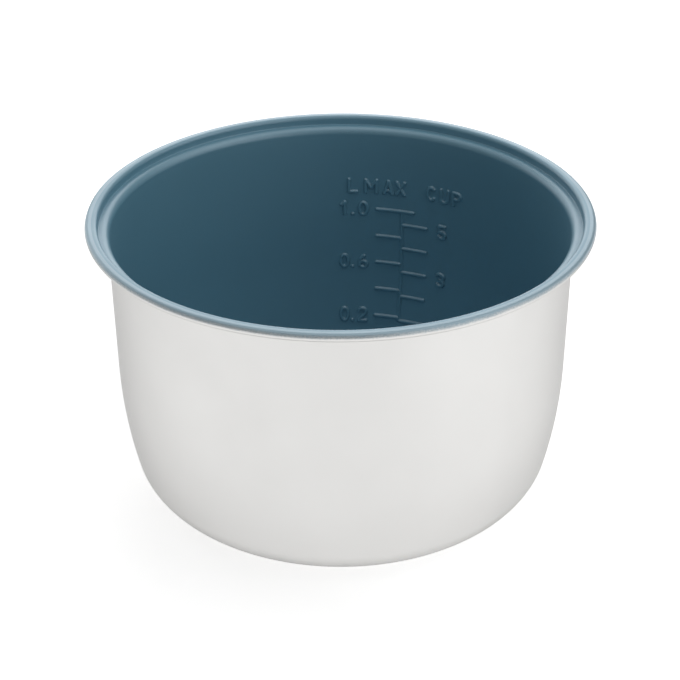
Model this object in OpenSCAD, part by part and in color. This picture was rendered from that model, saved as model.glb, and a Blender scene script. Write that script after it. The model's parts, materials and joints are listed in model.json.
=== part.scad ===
// Inner pot of a small rice cooker: a deep-drawn aluminium pan with a rolled lip,
// a non-stick lining and a raised rice scale on the inside of its wall.

/* [Pan] */
// Diameter across the rolled lip
lip_d = 208; // [200:1:230]
// Height from the base to the top of the lip
height = 122.6; // [110:0.2:140]
// Thickness of the aluminium sheet
sheet_t = 0.8; // [0.6:0.1:1.4]
// Radius where the base turns up into the side
knuckle_r = 17.4; // [15:0.2:24]
// Radius of the slow curve between the knuckle and the straight wall
bow_r = 207; // [150:1:230]
// Angle that the slow curve turns through
bow_angle = 12; // [8:0.2:14]

/* [Rim] */
// Distance from the edge of the lip in to the step above the ledge
lip_w = 5.1; // [4.8:0.1:8]
// Radius of the sheet where the lip rolls over
roll_r = 1.6; // [1.5:0.05:2]
// Angle past its outermost point that the lip curls under
roll_angle = 80; // [30:5:85]
// Rounding of the inner edge of the lip
edge_r = 1.6; // [1:0.1:2]
// Depth of the lid ledge below the top of the lip
ledge_depth = 4; // [3.2:0.1:6]
// Width of the flat of the lid ledge
ledge_w = 1.1; // [1:0.1:3]
// Rounding where the wall turns out into the ledge
shoulder_r = 3.2; // [2.1:0.1:4]
// Rounding where the ledge turns up to the step
corner_r = 0.3; // [0.2:0.1:0.9]

/* [Lining] */
// Thickness of the non-stick lining
coat_t = 0.2; // [0.15:0.05:0.3]
// Angle above the outermost point of the lip where the lining stops
coat_angle = 35; // [20:5:60]

/* [Scale] */
// Compass angle of the upright line, from +Y toward +X
scale_angle = 18.2; // [0:0.1:90]
// How far the marks stand out from the lining
relief = 0.35; // [0.2:0.05:0.4]
// Length of a tick along the wall
tick_l = 12.7; // [8:0.1:14]
// Height of a tick
tick_w = 1.2; // [0.8:0.1:1.6]
// Overrun of the top litre tick past the upright line
top_overrun = 6; // [3:0.5:8]
// Height of the 0.2 litre tick above the base
first_z = 21.4; // [18:0.2:26]
// Distance between litre ticks
litre_step = 14.1; // [10:0.1:14.5]
// Width of the upright line
spine_w = 0.9; // [0.6:0.1:1.2]
// Height of the figures and letters
glyph_h = 7.4; // [5:0.2:7.6]
// Width of the figures and letters
glyph_w = 4.8; // [3.5:0.1:4.9]
// Width of the letter M, in widths of the others
wide = 1.35; // [1:0.05:1.4]
// Width of a stroke in the figures and letters
stroke = 1.2; // [0.8:0.1:1.3]
// Distance between the first figure and the second in a litre number
litre_pitch = 9; // [8.5:0.1:9.5]
// Middle of the last figure of a litre number, along the wall from the upright line
litre_x = -18.9; // [-20:0.1:-18.5]
// Middle of a cup number, along the wall from the upright line
cup_x = 20.5; // [18.5:0.1:24]
// Height of the headings above the top litre tick
heading_rise = 11.8; // [9:0.2:13]

/* [Hidden] */
$fn = 160;
lip_r = lip_d / 2;
skin_t = sheet_t + coat_t;
roll_at = [lip_r - roll_r, height - coat_t - roll_r];
step_r = lip_r - lip_w;
wall_r = step_r - corner_r - ledge_w - shoulder_r;
body_r = wall_r + skin_t;
flat_r = body_r - bow_r + (bow_r - knuckle_r) * cos(bow_angle);
bow_z = knuckle_r + (bow_r - knuckle_r) * sin(bow_angle);
ledge_z = height - ledge_depth;
shoulder_at = [wall_r + shoulder_r, ledge_z - shoulder_r];
corner_at = [step_r - corner_r, ledge_z + corner_r];
edge_at = [step_r + edge_r, height - edge_r];
litre_marks = 5;
cup_marks = 5;
cup_litres = 0.18;
mark_litres = 0.2;
// Letters of the headings, each with its place along the wall from the upright line
max_letters = [["M", -15.2], ["A", -6.9], ["X", -0.9]];
litre_letters = [["L", -23.9]];
cup_letters = [["C", 14.6], ["U", 21.4], ["P", 27.9]];

// Points of an arc about a centre, from one angle to another
function arc(at, r, from, to, steps) =
    [for (i = [0:steps]) let (a = from + (to - from) * i / steps) at + r * [cos(a), sin(a)]];

// The list without its first point
function tail(points) = [for (i = [1:len(points) - 1]) points[i]];

// The list from its last point to its first
function reverse(points) = [for (i = [len(points) - 1:-1:0]) points[i]];

// Side of the pot, d millimetres in from its outer surface, from the base up to the shoulder
function side(d) = concat(
    arc([flat_r, knuckle_r], knuckle_r - d, -90, -bow_angle, 12),
    tail(arc([body_r - bow_r, bow_z], bow_r - d, -bow_angle, 0, 6)));

// Shoulder, ledge and corner up to the step, d millimetres in from the outer surface
function ledge(d) = concat(
    arc(shoulder_at, shoulder_r - skin_t + d, 180, 90, 8),
    arc(corner_at, corner_r + skin_t - d, -90, 0, 6));

// Inner edge of the lip, square where the sheet is too far out to round it
function lip_edge(d) = d > skin_t - edge_r
    ? arc(edge_at, edge_r - skin_t + d, 180, 90, 8)
    : [[step_r + skin_t - d, height - skin_t + d]];

// Flat top of the lip and its roll, d millimetres in from the outer surface
function lip(d, stop) = concat(lip_edge(d), arc(roll_at, roll_r - sheet_t + d, 90, stop, 20));

// Whole upper line of one surface, from the axis to where it stops on the roll
function surface_line(d, stop) = concat([[0, d]], side(d), ledge(d), lip(d, stop));

// Solid of revolution between two surfaces of the pot
module layer(outer, inner, stop) {
    rotate_extrude()
        polygon(concat(surface_line(outer, stop), reverse(surface_line(inner, stop))));
}

// Thin shell on the lining where the scale marks stand
module mark_shell() {
    back = side(skin_t);
    face = side(skin_t + relief);
    top = [[wall_r, shoulder_at.y], [wall_r - relief, shoulder_at.y]];
    rotate_extrude()
        polygon(concat(back, top, reverse(face)));
}

// Cuts flat marks out of the shell; x runs along the wall from the upright line, y is height
module on_wall(x) {
    turn = scale_angle + x / wall_r * 180 / PI;
    rotate(-turn)
        translate([0, wall_r + 1, 0])
            rotate([90, 0, 0])
                linear_extrude(20)
                    children();
}

// Upright bar or tick with square ends
module bar(x, y, w, h) {
    translate([x, y])
        square([w, h]);
}

// Points of an upright oval arc, about a centre
function oval(at, rx, ry, from, to, steps) =
    [for (i = [0:steps]) let (a = from + (to - from) * i / steps) at + [rx * cos(a), ry * sin(a)]];

// A line whose last point meets its first is a ring
function is_ring(points) = norm(points[0] - points[len(points) - 1]) < 0.001;

// Sideways direction at one point of a line, mitred between the runs before and after it
function miter(points, i) =
    let (n = len(points) - 1, ring = is_ring(points))
    let (before = i > 0 ? points[i] - points[i - 1] : ring ? points[0] - points[n - 1] : points[1] - points[0])
    let (after = i < n ? points[i + 1] - points[i] : ring ? points[1] - points[0] : before)
    let (m = before / norm(before) + after / norm(after))
    [-m.y, m.x] * 2 / (m * m);

// One edge of the stroke that follows a line
function edge(points, w) = [for (i = [0:len(points) - 1]) points[i] + w * miter(points, i)];

// Flat stroke along a line, or around a ring
module stroke_along(points) {
    left = edge(points, stroke / 2);
    right = edge(points, -stroke / 2);
    if (is_ring(points))
        difference() {
            polygon(tail(right));
            polygon(tail(left));
        }
    else
        polygon(concat(left, reverse(right)));
}

// Centre lines of one figure or letter, about the middle of its box
function glyph(name) =
    let (x = (glyph_w - stroke) / 2, y = (glyph_h - stroke) / 2, h = y / 2, end = glyph_h / 2)
    let (m = (glyph_w * wide - stroke) / 2)
    name == "0" ? [oval([0, 0], x, y, 0, 360, 16)] :
    name == "1" ? [[[-x * 0.6, y - x * 0.8], [x * 0.2, y]], [[x * 0.2, end], [x * 0.2, -end]]] :
    name == "2" ? [concat(oval([0, h], x, h, 165, -35, 8), [[-x, -y]]), [[-x - stroke / 2, -y], [x, -y]]] :
    name == "3" ? [for (s = [1, -1]) oval([0, s * h], x, h + 0.1, s * 150, -s * 100, 9)] :
    name == "5" ? [[[x, y], [-x * 0.8, y], [-x, 0]], oval([0, -h], x, h + 0.2, 145, -150, 10)] :
    name == "6" ? [oval([0, -h], x, h, 0, 360, 14), oval([x, -h], 2 * x, y * 1.5, 115, 180, 5)] :
    name == "." ? [[[0, -end], [0, stroke - end]]] :
    name == "L" ? [[[-x, end], [-x, -y], [x, -y]]] :
    name == "M" ? [[[-m, -end], [-m, end]], [[-m, y], [0, -h], [m, y]], [[m, end], [m, -end]]] :
    name == "A" ? [[[-x, -end], [0, end]], [[0, end], [x, -end]], [[-x * 0.7, -h], [x * 0.7, -h]]] :
    name == "X" ? [[[-x, end], [x, -end]], [[-x, -end], [x, end]]] :
    name == "C" ? [oval([0, 0], x, y, 50, 310, 12)] :
    name == "U" ? [concat([[-x, end]], oval([0, x - y], x, x, 180, 360, 8), [[x, end]])] :
    [[[-x, -end], [-x, end]], concat([[-x, y]], oval([x - h, h], h, h, 90, -90, 8), [[-x, 0]])];

// One figure or letter on the wall
module mark(name, x, z) {
    on_wall(x)
        translate([0, z])
            for (points = glyph(name))
                stroke_along(points);
}

// Heights of the ticks
function litre_z(i) = first_z + i * litre_step;
function cup_z(i) = first_z + (cup_litres * (i + 1) - mark_litres) / mark_litres * litre_step;

module aluminium_pan() {
    color("silver")
        layer(0, sheet_t, -roll_angle);
}

module nonstick_lining() {
    color("darkslategray")
        layer(sheet_t, skin_t, coat_angle);
}

module litre_ticks() {
    color("slategray")
        intersection() {
            mark_shell();
            on_wall(0)
                for (i = [0:litre_marks - 1]) {
                    extra = i == litre_marks - 1 ? top_overrun : -spine_w / 2;
                    bar(-tick_l, litre_z(i) - tick_w / 2, tick_l + extra, tick_w);
                }
        }
}

module cup_ticks() {
    color("slategray")
        intersection() {
            mark_shell();
            on_wall(0)
                for (i = [0:cup_marks - 1])
                    bar(spine_w / 2, cup_z(i) - tick_w / 2, tick_l, tick_w);
        }
}

module scale_spine() {
    low = cup_z(0) - tick_w / 2;
    color("slategray")
        intersection() {
            mark_shell();
            on_wall(0)
                bar(-spine_w / 2, low, spine_w, litre_z(litre_marks - 1) - tick_w / 2 - low);
        }
}

module litre_numbers() {
    color("slategray")
        intersection() {
            mark_shell();
            for (n = [["0", "2", 0], ["0", "6", 2], ["1", "0", 4]]) {
                mark(n[0], litre_x - litre_pitch, litre_z(n.z));
                mark(".", litre_x - litre_pitch / 2, litre_z(n.z));
                mark(n[1], litre_x, litre_z(n.z));
            }
        }
}

module cup_numbers() {
    color("slategray")
        intersection() {
            mark_shell();
            for (n = [["3", 2], ["5", 4]])
                mark(n[0], cup_x, cup_z(n[1]));
        }
}

// Row of letters above the ticks
module heading(letters) {
    color("slategray")
        intersection() {
            mark_shell();
            for (letter = letters)
                mark(letter[0], letter[1], litre_z(litre_marks - 1) + heading_rise);
        }
}

module max_heading() {
    heading(max_letters);
}

module litre_heading() {
    heading(litre_letters);
}

module cup_heading() {
    heading(cup_letters);
}

aluminium_pan();
nonstick_lining();
litre_ticks();
cup_ticks();
scale_spine();
litre_numbers();
cup_numbers();
max_heading();
litre_heading();
cup_heading();
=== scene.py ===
import json
import math

import bpy
import numpy as np
from mathutils import Matrix, Vector


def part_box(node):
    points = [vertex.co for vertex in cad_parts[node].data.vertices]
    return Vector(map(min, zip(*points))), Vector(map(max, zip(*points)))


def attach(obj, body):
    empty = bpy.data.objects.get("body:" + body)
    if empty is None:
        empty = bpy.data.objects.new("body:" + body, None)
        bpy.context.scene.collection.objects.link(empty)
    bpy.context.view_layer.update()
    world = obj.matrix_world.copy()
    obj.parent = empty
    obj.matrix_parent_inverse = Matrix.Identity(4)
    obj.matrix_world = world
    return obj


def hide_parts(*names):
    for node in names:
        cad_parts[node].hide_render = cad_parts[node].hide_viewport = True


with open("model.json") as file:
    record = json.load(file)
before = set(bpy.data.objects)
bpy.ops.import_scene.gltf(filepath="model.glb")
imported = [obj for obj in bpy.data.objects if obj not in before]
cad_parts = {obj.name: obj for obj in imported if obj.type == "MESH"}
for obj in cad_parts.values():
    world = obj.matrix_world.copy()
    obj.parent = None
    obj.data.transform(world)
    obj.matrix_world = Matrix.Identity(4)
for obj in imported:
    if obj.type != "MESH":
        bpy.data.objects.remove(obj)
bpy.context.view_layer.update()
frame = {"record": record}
mm = 0.001
mounts = {mount["name"]: mount for mount in frame["record"]["mounts"]}
print("frame loaded")

# the pot's section, shared by the pan, the lining and the marks; angles in degrees
pot = {
    "height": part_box("nonstick_lining")[1].z,
    "lipRadius": 104 * mm,
    "bodyRadius": mounts["housing_fit"]["dims"]["r_mm"] * mm,
    "wallRadius": mounts["bowl_wall"]["dims"]["r_mm"] * mm,
    "ledgeHeight": mounts["lid_ledge"]["pos_m"][2],
    "coat": 0.2 * mm,  # thickness of the lining
    "knuckleRadius": 17.4 * mm,
    "bowRadius": 207 * mm,  # the side's slight bow, between the knuckle and the straight wall
    "bowAngle": 12,
    "lipWidth": 5.1 * mm,
    "rollRadius": 1.6 * mm,
    "rollEnd": -80,  # where the curl stops under the lip
    "edgeRadius": 1.6 * mm,
    "shoulderRadius": 3.2 * mm,
    "cornerRadius": 0.3 * mm,
    "segments": 288,
    "steps": {"base": 6, "knuckle": 24, "bow": 14, "wall": 8, "shoulder": 14, "corner": 10, "edge": 12},
}
pot["skin"] = pot["bodyRadius"] - pot["wallRadius"]
pot["sheet"] = pot["skin"] - pot["coat"]
bowAngle = math.radians(pot["bowAngle"])
bowCentre = (
    pot["bodyRadius"] - pot["bowRadius"],
    pot["knuckleRadius"] + (pot["bowRadius"] - pot["knuckleRadius"]) * math.sin(bowAngle),
)
knuckleCentre = (
    bowCentre[0] + (pot["bowRadius"] - pot["knuckleRadius"]) * math.cos(bowAngle),
    pot["knuckleRadius"],
)
rollCentre = (pot["lipRadius"] - pot["rollRadius"], pot["height"] - pot["coat"] - pot["rollRadius"])
stepRadius = pot["lipRadius"] - pot["lipWidth"]
edgeCentre = (stepRadius + pot["edgeRadius"], pot["height"] - pot["edgeRadius"])
shoulderCentre = (pot["wallRadius"] + pot["shoulderRadius"], pot["ledgeHeight"] - pot["shoulderRadius"])
cornerCentre = (stepRadius - pot["cornerRadius"], pot["ledgeHeight"] + pot["cornerRadius"])


def arc(centre, radius, start, end, steps):
    angles = [math.radians(start + (end - start) * i / steps) for i in range(steps + 1)]
    return [(centre[0] + radius * math.cos(a), centre[1] + radius * math.sin(a)) for a in angles]


def sideLine(depth):
    # from the middle of the flat base up to the shoulder
    steps = pot["steps"]
    base = [(knuckleCentre[0] * i / steps["base"], depth) for i in range(1, steps["base"])]
    knuckle = arc(knuckleCentre, pot["knuckleRadius"] - depth, -90, -pot["bowAngle"], steps["knuckle"])
    bow = arc(bowCentre, pot["bowRadius"] - depth, -pot["bowAngle"], 0, steps["bow"])
    rise = shoulderCentre[1] - bowCentre[1]
    heights = [bowCentre[1] + rise * i / steps["wall"] for i in range(1, steps["wall"])]
    wall = [(pot["bodyRadius"] - depth, z) for z in heights]
    return base + knuckle + bow[1:] + wall


def ledgeLine(depth):
    # from the top of the wall, over the shoulder and the ledge, into the corner under the step
    steps = pot["steps"]
    shoulder = arc(shoulderCentre, pot["shoulderRadius"] - pot["skin"] + depth, 180, 90, steps["shoulder"])
    corner = arc(cornerCentre, pot["cornerRadius"] + pot["skin"] - depth, -90, 0, steps["corner"])
    return shoulder + corner


def edgeLine(depth):
    # inner edge of the lip, from the step up to its flat top
    return arc(edgeCentre, pot["edgeRadius"] - pot["skin"] + depth, 180, 90, pot["steps"]["edge"])


def wallRadiusAt(z, depth):
    # radius of the wall at a height, measured a depth in from the outside of the sheet
    drop = np.maximum(bowCentre[1] - z, 0)
    return bowCentre[0] + np.sqrt((pot["bowRadius"] - depth) ** 2 - drop ** 2)


def deselectAll():
    bpy.ops.object.select_all(action="DESELECT")


def spinProfile(name, line, segments):
    # one vertex drawn out along the section, then spun round the axis
    deselectAll()
    bpy.ops.mesh.primitive_plane_add(size=mm, location=(line[0][0], 0, line[0][1]))
    piece = bpy.context.object
    piece.name = name
    piece.data.name = name
    bpy.ops.object.transform_apply(location=True, rotation=False, scale=False)
    bpy.ops.object.mode_set(mode="EDIT")
    bpy.ops.mesh.merge(type="CENTER")
    for here, there in zip(line, line[1:]):
        step = (there[0] - here[0], 0, there[1] - here[1])
        bpy.ops.mesh.extrude_region_move(TRANSFORM_OT_translate={"value": step})
    bpy.ops.mesh.select_all(action="SELECT")
    bpy.ops.mesh.spin(steps=segments, angle=math.tau, center=(0, 0, 0), axis=(0, 0, 1))
    bpy.ops.mesh.select_all(action="SELECT")
    bpy.ops.mesh.remove_doubles(threshold=0.002 * mm)
    bpy.ops.mesh.normals_make_consistent(inside=False)
    bpy.ops.object.mode_set(mode="OBJECT")
    return piece


def finishPiece(piece, material, node, smoothAngle=32):
    deselectAll()
    piece.select_set(True)
    bpy.context.view_layer.objects.active = piece
    bpy.ops.object.shade_smooth_by_angle(angle=math.radians(smoothAngle))
    piece.data.materials.clear()
    piece.data.materials.append(material)
    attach(piece, "root")
    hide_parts(node)
    print("finished", piece.name, len(piece.data.polygons), "faces")


def newGroup(name, inputs, outputs):
    group = bpy.data.node_groups.new(name, "ShaderNodeTree")
    for label, kind, value in inputs:
        socket = group.interface.new_socket(label, in_out="INPUT", socket_type=kind)
        if value is not None:
            socket.default_value = value
    for label, kind in outputs:
        group.interface.new_socket(label, in_out="OUTPUT", socket_type=kind)
    return group, group.nodes.new("NodeGroupInput"), group.nodes.new("NodeGroupOutput")


def addNode(tree, kind, settings=None, **links):
    # each link names an input, or counts it as i0, i1, and gives it a socket or a plain value
    node = tree.nodes.new(kind)
    for key, value in (settings or {}).items():
        setattr(node, key, value)
    for key, value in links.items():
        socket = node.inputs[int(key[1:])] if key[0] == "i" and key[1:].isdigit() else node.inputs[key]
        if isinstance(value, bpy.types.NodeSocket):
            tree.links.new(value, socket)
        else:
            socket.default_value = value
    return node


def mathNode(tree, operation, a, b):
    return addNode(tree, "ShaderNodeMath", {"operation": operation}, i0=a, i1=b).outputs[0]


def buildSprayGroup():
    # uneven end of the sprayed lining: none below one height, thin above another, full inside the reach
    group, given, out = newGroup(
        "sprayEdge",
        [
            ("Vector", "NodeSocketVector", None),
            ("Low", "NodeSocketFloat", 0.0),
            ("High", "NodeSocketFloat", 1.0),
            ("Reach", "NodeSocketFloat", 1.0),
            ("Slope", "NodeSocketFloat", 0.001),
            ("Cover", "NodeSocketFloat", 1.0),
            ("Speck", "NodeSocketFloat", 1000.0),
            ("Cloud", "NodeSocketFloat", 45.0),
        ],
        [("Mask", "NodeSocketFloat")],
    )
    place = given.outputs["Vector"]
    height = addNode(group, "ShaderNodeSeparateXYZ", i0=place).outputs["Z"]
    low, high = given.outputs["Low"], given.outputs["High"]
    share = addNode(group, "ShaderNodeMapRange", i0=height, i1=low, i2=high).outputs[0]
    specks = addNode(group, "ShaderNodeTexNoise", i0=place, Scale=given.outputs["Speck"], Detail=2.0)
    cloud = addNode(group, "ShaderNodeTexNoise", i0=place, Scale=given.outputs["Cloud"], Detail=2.0)
    fine = mathNode(group, "MULTIPLY", specks.outputs[0], 0.75)
    broad = mathNode(group, "MULTIPLY", cloud.outputs[0], 0.25)
    both = mathNode(group, "ADD", fine, broad)
    spread = addNode(group, "ShaderNodeMapRange", i0=both, i1=0.36, i2=0.64, i3=-0.3, i4=0.3)
    # the unevenness is widest half-way up the fade and nothing at its ends
    swing = mathNode(group, "MULTIPLY", share, mathNode(group, "SUBTRACT", 1.0, share))
    moved = mathNode(group, "MULTIPLY", mathNode(group, "MULTIPLY", swing, 4.0), spread.outputs[0])
    mask = addNode(group, "ShaderNodeMapRange", i0=mathNode(group, "ADD", share, moved))
    flat = addNode(group, "ShaderNodeVectorMath", {"operation": "MULTIPLY"}, i0=place, i1=(1, 1, 0))
    radius = addNode(group, "ShaderNodeVectorMath", {"operation": "LENGTH"}, i0=flat.outputs["Vector"])
    reach = given.outputs["Reach"]
    full = mathNode(group, "SUBTRACT", reach, given.outputs["Slope"])
    inside = addNode(group, "ShaderNodeMapRange", i0=radius.outputs["Value"], i1=reach, i2=full)
    thin = mathNode(group, "MULTIPLY", mask.outputs[0], given.outputs["Cover"])
    group.links.new(mathNode(group, "MAXIMUM", thin, inside.outputs[0]), out.inputs["Mask"])
    return group


def buildGrainGroup():
    # fine blasted grain: a height for bump and a soft variation for roughness
    group, given, out = newGroup(
        "blastedGrain",
        [
            ("Vector", "NodeSocketVector", None),
            ("Size", "NodeSocketFloat", 900.0),
            ("Patches", "NodeSocketFloat", 30.0),
        ],
        [("Height", "NodeSocketFloat"), ("Variation", "NodeSocketFloat")],
    )
    place, size, patches = [given.outputs[label] for label in ("Vector", "Size", "Patches")]
    fine = addNode(group, "ShaderNodeTexNoise", i0=place, Scale=size, Detail=3.0, Roughness=0.6)
    broad = addNode(group, "ShaderNodeTexNoise", i0=place, Scale=patches, Detail=4.0, Roughness=0.55)
    group.links.new(fine.outputs[0], out.inputs["Height"])
    group.links.new(broad.outputs[0], out.inputs["Variation"])
    return group


grainGroup = buildGrainGroup()
sprayGroup = buildSprayGroup()
liningLook = {
    "colour": (0.113, 0.262, 0.347, 1),
    "roughness": 0.42,
    "unevenness": 0.03,
    "grain": 0.12,
    "ior": 2.1,
    "tint": (0.84, 0.92, 1, 1),  # colour of its reflections
}
metalLook = {
    "colour": (0.765, 0.76, 0.748, 1),
    "roughness": 0.44,
    "unevenness": 0.04,
    "grain": 0.15,
    "edgeTint": 0.5,  # how bright the metal stays where it turns away
}
coatEdge = {
    "angles": (-4, 92),  # degrees round the roll, between which the lining fades out
    "cover": 0.78,  # how well it covers the roll's outer half
    "slope": 0.8,  # part of the roll's radius in which it comes to cover fully
    "speck": 2200,
}


def newMaterial(name):
    material = bpy.data.materials.new(name)
    material.use_nodes = True
    tree = material.node_tree
    shader = tree.nodes["Principled BSDF"]
    coords = addNode(tree, "ShaderNodeTexCoord").outputs["Object"]
    return material, tree, shader, coords


def sprayedCoat(tree, shader, coords, reach):
    # metal below the lining's edge, lining above it, and an uneven fade between them
    low, high = [rollCentre[1] + pot["rollRadius"] * math.sin(math.radians(a)) for a in coatEdge["angles"]]
    spray = addNode(tree, "ShaderNodeGroup", {"node_tree": sprayGroup}, Low=low, High=high)
    spray.inputs["Reach"].default_value = reach
    spray.inputs["Slope"].default_value = pot["rollRadius"] * coatEdge["slope"]
    spray.inputs["Cover"].default_value = coatEdge["cover"]
    spray.inputs["Speck"].default_value = coatEdge["speck"]
    tree.links.new(coords, spray.inputs["Vector"])
    tint = addNode(tree, "ShaderNodeMix", {"data_type": "RGBA"}, Factor=spray.outputs["Mask"])
    tint.inputs[6].default_value = metalLook["colour"]  # sockets 6 and 7 are the two colours
    tint.inputs[7].default_value = liningLook["colour"]
    tree.links.new(tint.outputs[2], shader.inputs["Base Color"])
    metal = addNode(tree, "ShaderNodeMapRange", i0=spray.outputs["Mask"], i3=1.0, i4=0.0)
    tree.links.new(metal.outputs[0], shader.inputs["Metallic"])


def grainFinish(tree, shader, coords, look):
    # soft patches in the roughness and a fine bump
    grain = addNode(tree, "ShaderNodeGroup", {"node_tree": grainGroup})
    tree.links.new(coords, grain.inputs["Vector"])
    least, most = look["roughness"] - look["unevenness"], look["roughness"] + look["unevenness"]
    patches = grain.outputs["Variation"]
    rough = addNode(tree, "ShaderNodeMapRange", i0=patches, i1=0.3, i2=0.7, i3=least, i4=most)
    tree.links.new(rough.outputs[0], shader.inputs["Roughness"])
    height = grain.outputs["Height"]
    bump = addNode(tree, "ShaderNodeBump", Strength=look["grain"], Distance=0.05 * mm, Height=height)
    tree.links.new(bump.outputs[0], shader.inputs["Normal"])


def makeAluminium():
    material, tree, shader, coords = newMaterial("satinAluminium")
    sprayedCoat(tree, shader, coords, 0.0)
    grainFinish(tree, shader, coords, metalLook)
    tint = metalLook["edgeTint"]
    shader.inputs["Specular Tint"].default_value = (tint, tint, tint, 1)
    return material


def makeLining():
    material, tree, shader, coords = newMaterial("blueLining")
    sprayedCoat(tree, shader, coords, rollCentre[0])
    grainFinish(tree, shader, coords, liningLook)
    shader.inputs["IOR"].default_value = liningLook["ior"]
    shader.inputs["Specular Tint"].default_value = liningLook["tint"]
    return material


satinAluminium = makeAluminium()
blueLining = makeLining()
print("materials made")

pan = {"rollSteps": 44, "curlSteps": 20}


def makePan():
    # outside from the base to the lip, the hollow of the curl, then the roll and back down the inside
    sheet = pot["sheet"]
    outside = [(0, 0)] + sideLine(0) + ledgeLine(0) + edgeLine(0)
    curl = arc(rollCentre, pot["rollRadius"] - sheet, 90, pot["rollEnd"], pan["curlSteps"])
    roll = arc(rollCentre, pot["rollRadius"], pot["rollEnd"], 90, pan["rollSteps"])
    inside = [(0, sheet)] + sideLine(sheet) + ledgeLine(sheet) + edgeLine(sheet)
    line = outside + curl + roll + inside[::-1]
    piece = spinProfile("drawn_pan", line, pot["segments"])
    finishPiece(piece, satinAluminium, "aluminium_pan")


makePan()

# the lining ends part-way over the roll and tapers to a thin edge
film = {"edgeAngle": 31, "taperAngle": 55, "thinEdge": 0.02 * mm, "steps": 24}


def makeFilm():
    sheet, skin = pot["sheet"], pot["skin"]
    under = [(0, sheet)] + sideLine(sheet) + ledgeLine(sheet) + edgeLine(sheet)
    under += arc(rollCentre, pot["rollRadius"], 90, film["edgeAngle"], film["steps"])
    over = [(0, skin)] + sideLine(skin) + ledgeLine(skin) + edgeLine(skin)
    for i in range(film["steps"] + 1):
        angle = 90 + (film["edgeAngle"] - 90) * i / film["steps"]
        share = min(1, (angle - film["edgeAngle"]) / (film["taperAngle"] - film["edgeAngle"]))
        thick = film["thinEdge"] + (pot["coat"] - film["thinEdge"]) * share * share * (3 - 2 * share)
        turn = math.radians(angle)
        radius = pot["rollRadius"] + thick
        over.append((rollCentre[0] + radius * math.cos(turn), rollCentre[1] + radius * math.sin(turn)))
    piece = spinProfile("lining_film", under + over[::-1], pot["segments"])
    finishPiece(piece, blueLining, "nonstick_lining")


makeFilm()

# raised marks on the wall; lengths in mm where no unit stands beside them
scale = {
    "turn": 18.2,  # degrees from +Y toward +X, place of the upright line
    "relief": 0.8 * mm,
    "uprightRelief": 0.4 * mm,
    "core": 0.28,  # half width of a stroke's crown
    "foot": 0.95,  # half width where it meets the wall
    "pitch": 0.14,  # mesh spacing
    "back": 0.12 * mm,  # how far a mark reaches into the lining
    "ticks": 5,
    "firstTick": 21.4,
    "litreStep": 14.1,
    "stepLitres": 0.2,
    "cupLitres": 0.18,
    "tickLength": 12.3,
    "tickGap": 0.6,
    "overrun": 5.5,  # of the top tick past the upright line
    "figure": (3.7, 6.2),  # width and height between stroke centres
    "litreColumn": -18.9,  # last litre figure from the upright line
    "figureStep": 9.1,
    "pointStep": 5.1,
    "cupColumn": 20.5,
    "headingRise": 11.8,  # headings above the top tick
    "litreNumbers": (("02", 0), ("06", 2), ("10", 4)),  # figures and their tick
    "cupNumbers": (("3", 2), ("5", 4)),
    "maxLetters": (("M", -15.2), ("A", -6.9), ("X", -0.9)),  # letters and their place along the row
    "litreLetters": (("L", -23.9),),
    "cupLetters": (("C", 14.6), ("U", 21.4), ("P", 27.9)),
}


def litreTick(i):
    return scale["firstTick"] + i * scale["litreStep"]


def cupTick(i):
    cups, step = scale["cupLitres"] * (i + 1), scale["stepLitres"]
    return scale["firstTick"] + (cups - step) / step * scale["litreStep"]


def ovalLine(cx, cy, rx, ry, start, end, steps=18):
    angles = [math.radians(start + (end - start) * i / steps) for i in range(steps + 1)]
    return [(cx + rx * math.cos(a), cy + ry * math.sin(a)) for a in angles]


def glyphLines(name):
    # centre lines of one figure or letter, about its middle
    x, y = scale["figure"][0] / 2, scale["figure"][1] / 2
    h = y / 2
    bowl = ovalLine(0, -h * 0.9, x, h * 1.1, 130, -150)
    shapes = {
        "0": [ovalLine(0, 0, x, y, 0, 360, 28)],
        "1": [[(-x * 0.7, y - x * 0.7), (x * 0.1, y), (x * 0.1, -y)]],
        "2": [ovalLine(0, h, x, h, 165, -35) + [(-x, -y), (x, -y)]],
        "3": [ovalLine(0, s * h, x, h, s * 150, -s * 90) for s in (1, -1)],
        "5": [[(x * 0.9, y), (-x * 0.75, y), (-x * 0.9, 0.1)] + bowl],
        "6": [ovalLine(0, -h, x, h, 0, 360, 24), ovalLine(x, -h, 2 * x, y * 1.5, 112, 180)],
        ".": [[(0, -y), (0, -y + 0.05)]],
        "L": [[(-x, y), (-x, -y), (x, -y)]],
        "M": [[(-x * 1.4, -y), (-x * 1.4, y), (0, -h * 0.4), (x * 1.4, y), (x * 1.4, -y)]],
        "A": [[(-x, -y), (0, y), (x, -y)], [(-x * 0.65, -h), (x * 0.65, -h)]],
        "X": [[(-x, y), (x, -y)], [(-x, -y), (x, y)]],
        "C": [ovalLine(0, 0, x, y, 48, 312)],
        "U": [[(-x, y)] + ovalLine(0, x - y, x, x, 180, 360) + [(x, y)]],
        "P": [[(-x, -y), (-x, y)], [(-x, y)] + ovalLine(x - h, h, h, h, 90, -90) + [(-x, 0)]],
    }
    return shapes[name]


def shifted(lines, x, z):
    return [[(px + x, pz + z) for px, pz in line] for line in lines]


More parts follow.
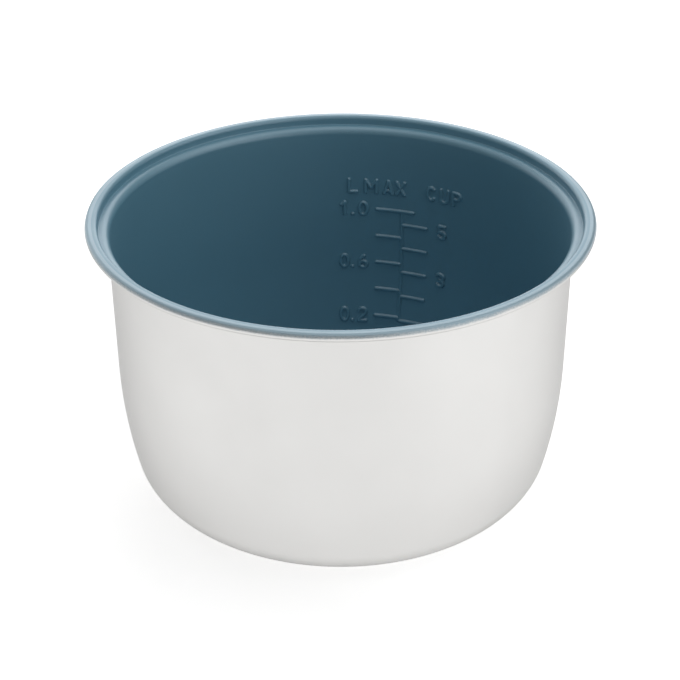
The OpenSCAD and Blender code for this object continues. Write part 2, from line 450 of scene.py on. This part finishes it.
def reliefHeight(px, pz, lines):
    # crown height over each point of the patch, from its distance to the nearest stroke
    near = np.full(px.shape, np.inf)
    for line in lines:
        for (ax, az), (bx, bz) in zip(line, line[1:]):
            run = np.array([bx - ax, bz - az])
            along = np.clip(((px - ax) * run[0] + (pz - az) * run[1]) / max(run @ run, 1e-9), 0, 1)
            near = np.minimum(near, np.hypot(px - ax - along * run[0], pz - az - along * run[1]))
    rise = np.clip((scale["foot"] - near) / (scale["foot"] - scale["core"]), 0, 1)
    return rise * rise * (3 - 2 * rise)


def markPatch(lines, relief):
    # a fine grid over one mark, raised where the strokes run and wrapped onto the wall
    xs = [p[0] for line in lines for p in line]
    zs = [p[1] for line in lines for p in line]
    edge = scale["foot"] + scale["pitch"]
    width, tall = max(xs) - min(xs) + 2 * edge, max(zs) - min(zs) + 2 * edge
    deselectAll()
    across, up = round(width / scale["pitch"]), round(tall / scale["pitch"])
    bpy.ops.mesh.primitive_grid_add(x_subdivisions=across, y_subdivisions=up, size=1)
    patch = bpy.context.object
    mesh = patch.data
    flat = np.empty(len(mesh.vertices) * 3)
    mesh.vertices.foreach_get("co", flat)
    flat = flat.reshape(-1, 3)
    px = (max(xs) + min(xs)) / 2 + flat[:, 0] * width
    pz = (max(zs) + min(zs)) / 2 + flat[:, 1] * tall
    height = reliefHeight(px, pz, lines)
    bpy.ops.object.mode_set(mode="EDIT")
    bpy.ops.mesh.select_all(action="DESELECT")
    bpy.ops.object.mode_set(mode="OBJECT")
    mesh.vertices.foreach_set("select", height <= 0)
    for face in mesh.polygons:
        face.select = all(height[v] <= 0 for v in face.vertices)
    radius = wallRadiusAt(pz * mm, pot["skin"] + height * relief)
    turn = math.radians(scale["turn"]) + px * mm / pot["wallRadius"]
    wrapped = np.stack([radius * np.sin(turn), radius * np.cos(turn), pz * mm], axis=1)
    mesh.vertices.foreach_set("co", wrapped.ravel())
    bpy.ops.object.mode_set(mode="EDIT")
    bpy.ops.mesh.select_mode(type="FACE")
    bpy.ops.mesh.delete(type="FACE")
    bpy.ops.mesh.select_mode(type="VERT")
    bpy.ops.mesh.select_all(action="SELECT")
    bpy.ops.mesh.flip_normals()
    bpy.ops.object.mode_set(mode="OBJECT")
    wall = patch.modifiers.new("back", "SOLIDIFY")
    wall.thickness = scale["back"]
    wall.offset = -1
    bpy.ops.object.modifier_apply(modifier="back")
    return patch


def makeMarks(name, node, marks, relief=scale["relief"]):
    patches = [markPatch(lines, relief) for lines in marks]
    deselectAll()
    for patch in patches:
        patch.select_set(True)
    bpy.context.view_layer.objects.active = patches[0]
    if len(patches) > 1:
        bpy.ops.object.join()
    piece = bpy.context.object
    piece.name = name
    piece.data.name = name
    finishPiece(piece, blueLining, node, smoothAngle=60)


def heading(letters):
    row = litreTick(scale["ticks"] - 1) + scale["headingRise"]
    return [shifted(glyphLines(name), x, row) for name, x in letters]


def litreNumber(figures, tick):
    z, last = litreTick(tick), scale["litreColumn"]
    first = shifted(glyphLines(figures[0]), last - scale["figureStep"], z)
    point = shifted(glyphLines("."), last - scale["pointStep"], z)
    return [first, point, shifted(glyphLines(figures[1]), last, z)]


def makeScale():
    length, gap, last = scale["tickLength"], scale["tickGap"], scale["ticks"] - 1
    ends = [-gap] * last + [scale["overrun"]]
    litreLines = [[[(-length, litreTick(i)), (end, litreTick(i))]] for i, end in enumerate(ends)]
    makeMarks("litre_lines", "litre_ticks", litreLines)
    cupLines = [[[(gap, cupTick(i)), (length, cupTick(i))]] for i in range(scale["ticks"])]
    makeMarks("cup_lines", "cup_ticks", cupLines)
    upright = [(0, cupTick(0)), (0, litreTick(last))]
    makeMarks("upright_line", "scale_spine", [[upright]], scale["uprightRelief"])
    numbers = [mark for figures, tick in scale["litreNumbers"] for mark in litreNumber(figures, tick)]
    makeMarks("litre_figures", "litre_numbers", numbers)
    numbers = [shifted(glyphLines(n), scale["cupColumn"], cupTick(i)) for n, i in scale["cupNumbers"]]
    makeMarks("cup_figures", "cup_numbers", numbers)
    makeMarks("max_letters", "max_heading", heading(scale["maxLetters"]))
    makeMarks("litre_letter", "litre_heading", heading(scale["litreLetters"]))
    makeMarks("cup_letters", "cup_heading", heading(scale["cupLetters"]))


makeScale()

# floor, soft boxes and camera
studio = {
    "camera": {
        "distance": 0.6466,
        "elevation": 30.45,
        "aim": (-0.0005, 0, 0.0597),
        "focal": 79.412,
        "filmWidth": 36,
        "roll": 0.35,
    },
    "floorSize": 2.6,
    "floorDrop": 0.2 * mm,
    "floorColour": 0.78,
    "floorGlow": 0.56,  # lifts the floor to white for the eye and in reflections
    # brightness of the surroundings, and the slopes between which it changes
    "sky": {"horizon": 1.0, "sides": 0.2, "top": 0.5, "lowFade": (0.03, 0.08), "highFade": (0.6, 0.8)},
    "boxAim": (0, 0, 0.06),
    "boxDistance": 1.6,
    # azimuth from +Y toward +X, elevation, width, brightness
    "boxes": [
        ("backBox", 0, 22, 1.1, 2.4),
        ("backLeftBox", 315, 22, 1.1, 1.1),
        ("frontRightBox", 135, 22, 1.1, 0.9),
        ("rightBox", 90, 22, 1.1, 0.42),
        ("rightHighBox", 90, 52, 1.1, 1.0),
        ("topBox", 0, 88, 1.3, 0.55),
    ],
}


def makeFloor():
    deselectAll()
    bpy.ops.mesh.primitive_plane_add(size=studio["floorSize"], location=(0, 0, -studio["floorDrop"]))
    floor = bpy.context.object
    floor.name = "studio_floor"
    material = bpy.data.materials.new("paleFloor")
    material.use_nodes = True
    tree = material.node_tree
    shader = tree.nodes["Principled BSDF"]
    shader.inputs["Base Color"].default_value = [studio["floorColour"]] * 3 + [1]
    shader.inputs["Roughness"].default_value = 0.9
    shader.inputs["Emission Color"].default_value = (1, 1, 1, 1)
    path = addNode(tree, "ShaderNodeLightPath")
    seen = mathNode(tree, "MAXIMUM", path.outputs["Is Camera Ray"], path.outputs["Is Glossy Ray"])
    seen = mathNode(tree, "MAXIMUM", seen, path.outputs["Is Transmission Ray"])
    glow = mathNode(tree, "MULTIPLY", seen, studio["floorGlow"])
    tree.links.new(glow, shader.inputs["Emission Strength"])
    floor.data.materials.append(material)


def makeWorld():
    # white at the horizon, dim above it and brighter again overhead
    world = bpy.data.worlds.new("studioAir")
    bpy.context.scene.world = world
    world.use_nodes = True
    tree = world.node_tree
    background = tree.nodes["Background"]
    coords = addNode(tree, "ShaderNodeTexCoord").outputs["Generated"]
    height = addNode(tree, "ShaderNodeSeparateXYZ", i0=coords).outputs["Z"]
    sky = studio["sky"]
    horizon, sides, top = sky["horizon"], sky["sides"], sky["top"]
    start, end = sky["lowFade"]
    low = addNode(tree, "ShaderNodeMapRange", i0=height, i1=start, i2=end, i3=horizon, i4=sides)
    start, end = sky["highFade"]
    high = addNode(tree, "ShaderNodeMapRange", i0=height, i1=start, i2=end, i3=0.0, i4=top - sides)
    level = mathNode(tree, "ADD", low.outputs[0], high.outputs[0])
    background.inputs["Color"].default_value = (1, 1, 1, 1)
    tree.links.new(level, background.inputs["Strength"])


def addBox(name, azimuth, elevation, size, level):
    turn, tilt = math.radians(azimuth), math.radians(elevation)
    toward = Vector((math.sin(turn) * math.cos(tilt), math.cos(turn) * math.cos(tilt), math.sin(tilt)))
    place = Vector(studio["boxAim"]) + toward * studio["boxDistance"]
    deselectAll()
    bpy.ops.object.light_add(type="AREA", location=place)
    lamp = bpy.context.object
    lamp.name = name
    lamp.data.shape = "SQUARE"
    lamp.data.size = size
    lamp.data.energy = level * size * size * math.pi
    lamp.rotation_euler = (-toward).to_track_quat("-Z", "Y").to_euler()
    lamp.visible_camera = False


def makeCamera():
    shot = studio["camera"]
    tilt = math.radians(shot["elevation"])
    aim = Vector(shot["aim"])
    place = aim + shot["distance"] * Vector((0, -math.cos(tilt), math.sin(tilt)))
    bpy.ops.object.camera_add(location=place)
    camera = bpy.context.object
    look = (aim - place).to_track_quat("-Z", "Y").to_matrix().to_4x4()
    look = look @ Matrix.Rotation(math.radians(-shot["roll"]), 4, "Z")
    camera.rotation_euler = look.to_euler()
    camera.data.lens = shot["focal"]
    camera.data.sensor_width = shot["filmWidth"]
    camera.data.clip_start = 0.01
    bpy.context.scene.camera = camera


makeFloor()
makeWorld()
for box in studio["boxes"]:
    addBox(*box)
makeCamera()
bpy.context.scene.view_settings.view_transform = "Standard"
print("studio made")
